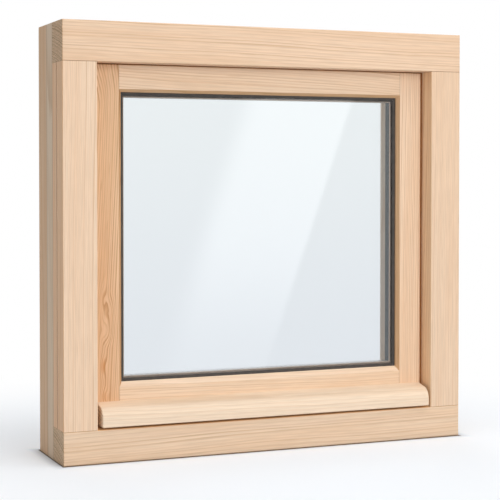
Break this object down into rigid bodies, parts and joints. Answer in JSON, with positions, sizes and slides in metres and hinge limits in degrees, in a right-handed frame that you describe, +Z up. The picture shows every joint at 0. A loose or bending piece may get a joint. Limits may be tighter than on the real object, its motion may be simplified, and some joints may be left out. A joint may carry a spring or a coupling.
{
  "type": "wooden window",
  "caption": "Nearly square fixed window: deep pine frame, set-back double-glazed sash, rounded drip rail across the foot of the sash.",
  "frame": {"origin": "middle of the frame's flat underside, half way along its width and half way through its depth", "axes": "+X along the width to the right seen from outside, +Y from the outside to the inside, +Z up"},
  "size_m": [0.6, 0.13, 0.59],
  "materials": {
    "frame_pine": "planed and clear sealed",
    "stile_pine": "planed and clear sealed",
    "rail_pine": "planed and clear sealed",
    "drip_rail_pine": "planed and clear sealed",
    "bead_pine": "planed and clear sealed",
    "glass": "clear float glass",
    "spacer_aluminium": "satin",
    "edge_sealant": "matt",
    "gasket_rubber": "matt",
    "weather_seal_rubber": "matt"
  },
  "bodies": {
    "root": {"left_jamb": "frame_pine", "right_jamb": "frame_pine", "frame_head": "frame_pine", "frame_sill": "frame_pine", "sash_left_stile": "stile_pine", "sash_right_stile": "stile_pine", "sash_top_rail": "rail_pine", "sash_bottom_rail": "rail_pine", "drip_rail": "drip_rail_pine", "outer_pane": "glass", "inner_pane": "glass", "spacer_left": "spacer_aluminium", "edge_seal_left": "edge_sealant", "outer_gasket_left": "gasket_rubber", "inner_gasket_left": "gasket_rubber", "glazing_bead_left": "bead_pine", "weather_seal_left": "weather_seal_rubber", "spacer_right": "spacer_aluminium", "edge_seal_right": "edge_sealant", "outer_gasket_right": "gasket_rubber", "inner_gasket_right": "gasket_rubber", "glazing_bead_right": "bead_pine", "weather_seal_right": "weather_seal_rubber", "spacer_top": "spacer_aluminium", "edge_seal_top": "edge_sealant", "outer_gasket_top": "gasket_rubber", "inner_gasket_top": "gasket_rubber", "glazing_bead_top": "bead_pine", "weather_seal_top": "weather_seal_rubber", "spacer_bottom": "spacer_aluminium", "edge_seal_bottom": "edge_sealant", "outer_gasket_bottom": "gasket_rubber", "inner_gasket_bottom": "gasket_rubber", "glazing_bead_bottom": "bead_pine", "weather_seal_bottom": "weather_seal_rubber"}
  },
  "joints": []
}
